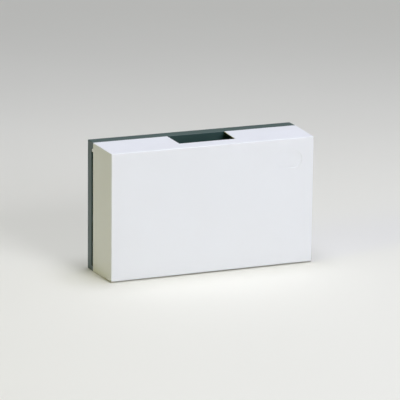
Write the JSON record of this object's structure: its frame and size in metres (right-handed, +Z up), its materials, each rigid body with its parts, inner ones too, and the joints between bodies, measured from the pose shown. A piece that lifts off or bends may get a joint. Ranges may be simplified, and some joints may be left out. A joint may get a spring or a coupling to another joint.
{
  "type": "doorbell chime box",
  "caption": "Rectangular wall-mounted doorbell chime with a pull-off white cover, a sound outlet in its top and a spring-returned solenoid plunger that strikes tone bars.",
  "frame": {"origin": "middle of the back of the base, on the wall", "axes": "+Z up the wall, -Y out of the wall towards the viewer, +X to the right as seen from the front"},
  "size_m": [0.19, 0.053, 0.114],
  "materials": {
    "cover_plastic": "fine satin moulding, cool white",
    "base_plastic": "fine matt moulding, dark grey-green",
    "tone_steel": "bright plated spring steel",
    "rubber": "matt black rubber",
    "zinc_steel": "zinc plate",
    "nylon": "natural nylon",
    "copper_wire": "enamelled copper wire",
    "coil_tape": "yellow polyester tape",
    "core_steel": "turned soft iron",
    "spring_steel": "drawn spring wire",
    "block_plastic": "cream moulding",
    "brass": "bright brass",
    "lead_red": "red wire insulation",
    "lead_blue": "blue wire insulation"
  },
  "bodies": {
    "base": {"base_plate": "base_plastic", "tone_bar_left": "tone_steel", "tone_bar_right": "tone_steel", "grommets_left": "rubber", "grommets_right": "rubber", "yoke": "zinc_steel", "yoke_screws": "zinc_steel", "coil_bobbin": "nylon", "coil_winding": "copper_wire", "coil_tape": "coil_tape", "return_spring": "spring_steel", "terminal_block": "block_plastic", "terminal_block_screws": "zinc_steel", "terminal_plates": "brass", "wire_clamps": "zinc_steel", "terminal_screws": "brass", "coil_lead_left": "lead_red", "coil_lead_right": "lead_blue"},
    "cover": {"cover": "cover_plastic"},
    "plunger": {"plunger_core": "core_steel", "striker_left": "nylon", "striker_right": "nylon"}
  },
  "joints": [
    {"name": "cover_pull", "type": "slide", "parent": "base", "child": "cover", "axis": [0, -1, 0], "range_m": [0, 0.06]},
    {"name": "plunger_stroke", "type": "slide", "parent": "base", "child": "plunger", "axis": [1, 0, 0], "range_m": [-0.0024, 0.0094], "stiffness_N_per_m": 60, "deforming": ["return_spring"]}
  ]
}
